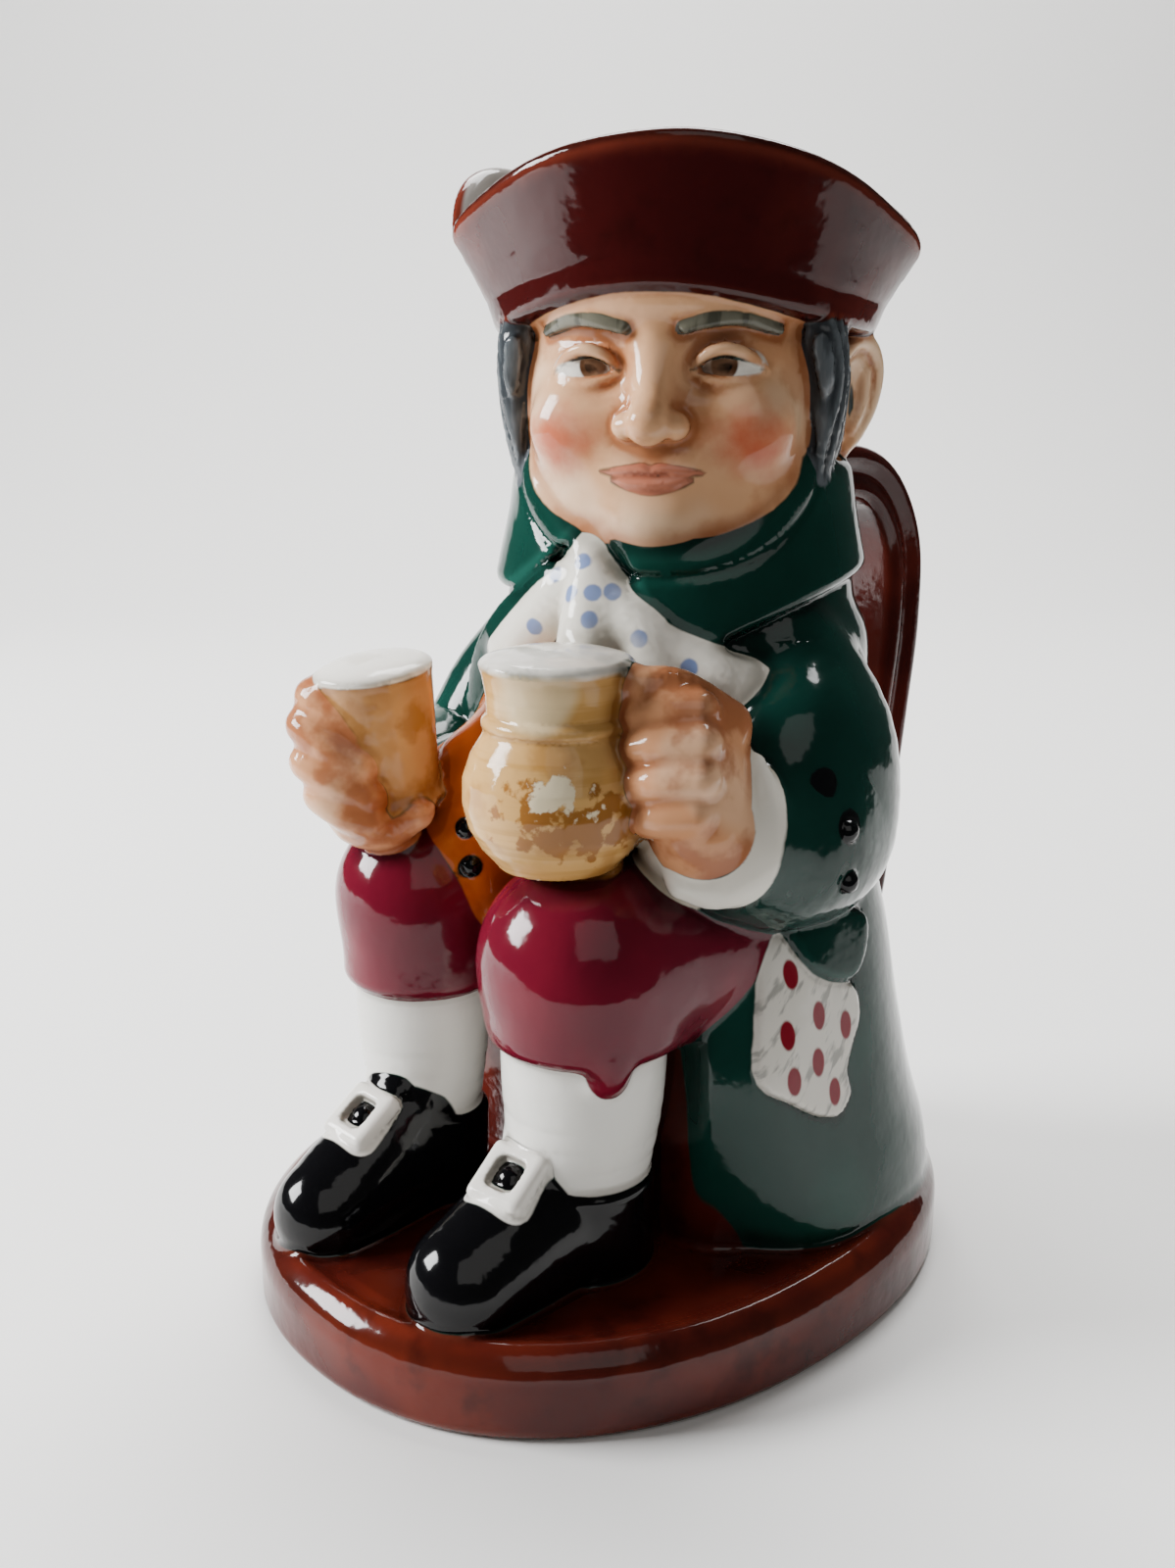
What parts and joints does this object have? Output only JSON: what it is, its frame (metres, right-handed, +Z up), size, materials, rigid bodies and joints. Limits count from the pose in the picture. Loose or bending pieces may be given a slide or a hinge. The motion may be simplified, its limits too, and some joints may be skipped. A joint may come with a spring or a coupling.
{
  "type": "toby jug",
  "caption": "Hollow glazed earthenware jug shaped as a seated figure in a three-cornered hat, holding a jug and a beaker, with a strap handle behind.",
  "frame": {"origin": "centre of the plinth's flat underside", "axes": "+Z up, -Y the way the shoes point, +X the figure's own left"},
  "size_m": [0.0952, 0.1297, 0.1682],
  "materials": {
    "glazed_earthenware": "hand-painted under a clear high-gloss glaze: maroon hat, plinth and handle, bottle green coat, crimson breeches, orange waistcoat, white stockings and cuffs, black shoes, ochre vessels"
  },
  "bodies": {
    "root": {"toby_jug": "glazed_earthenware"}
  },
  "joints": []
}
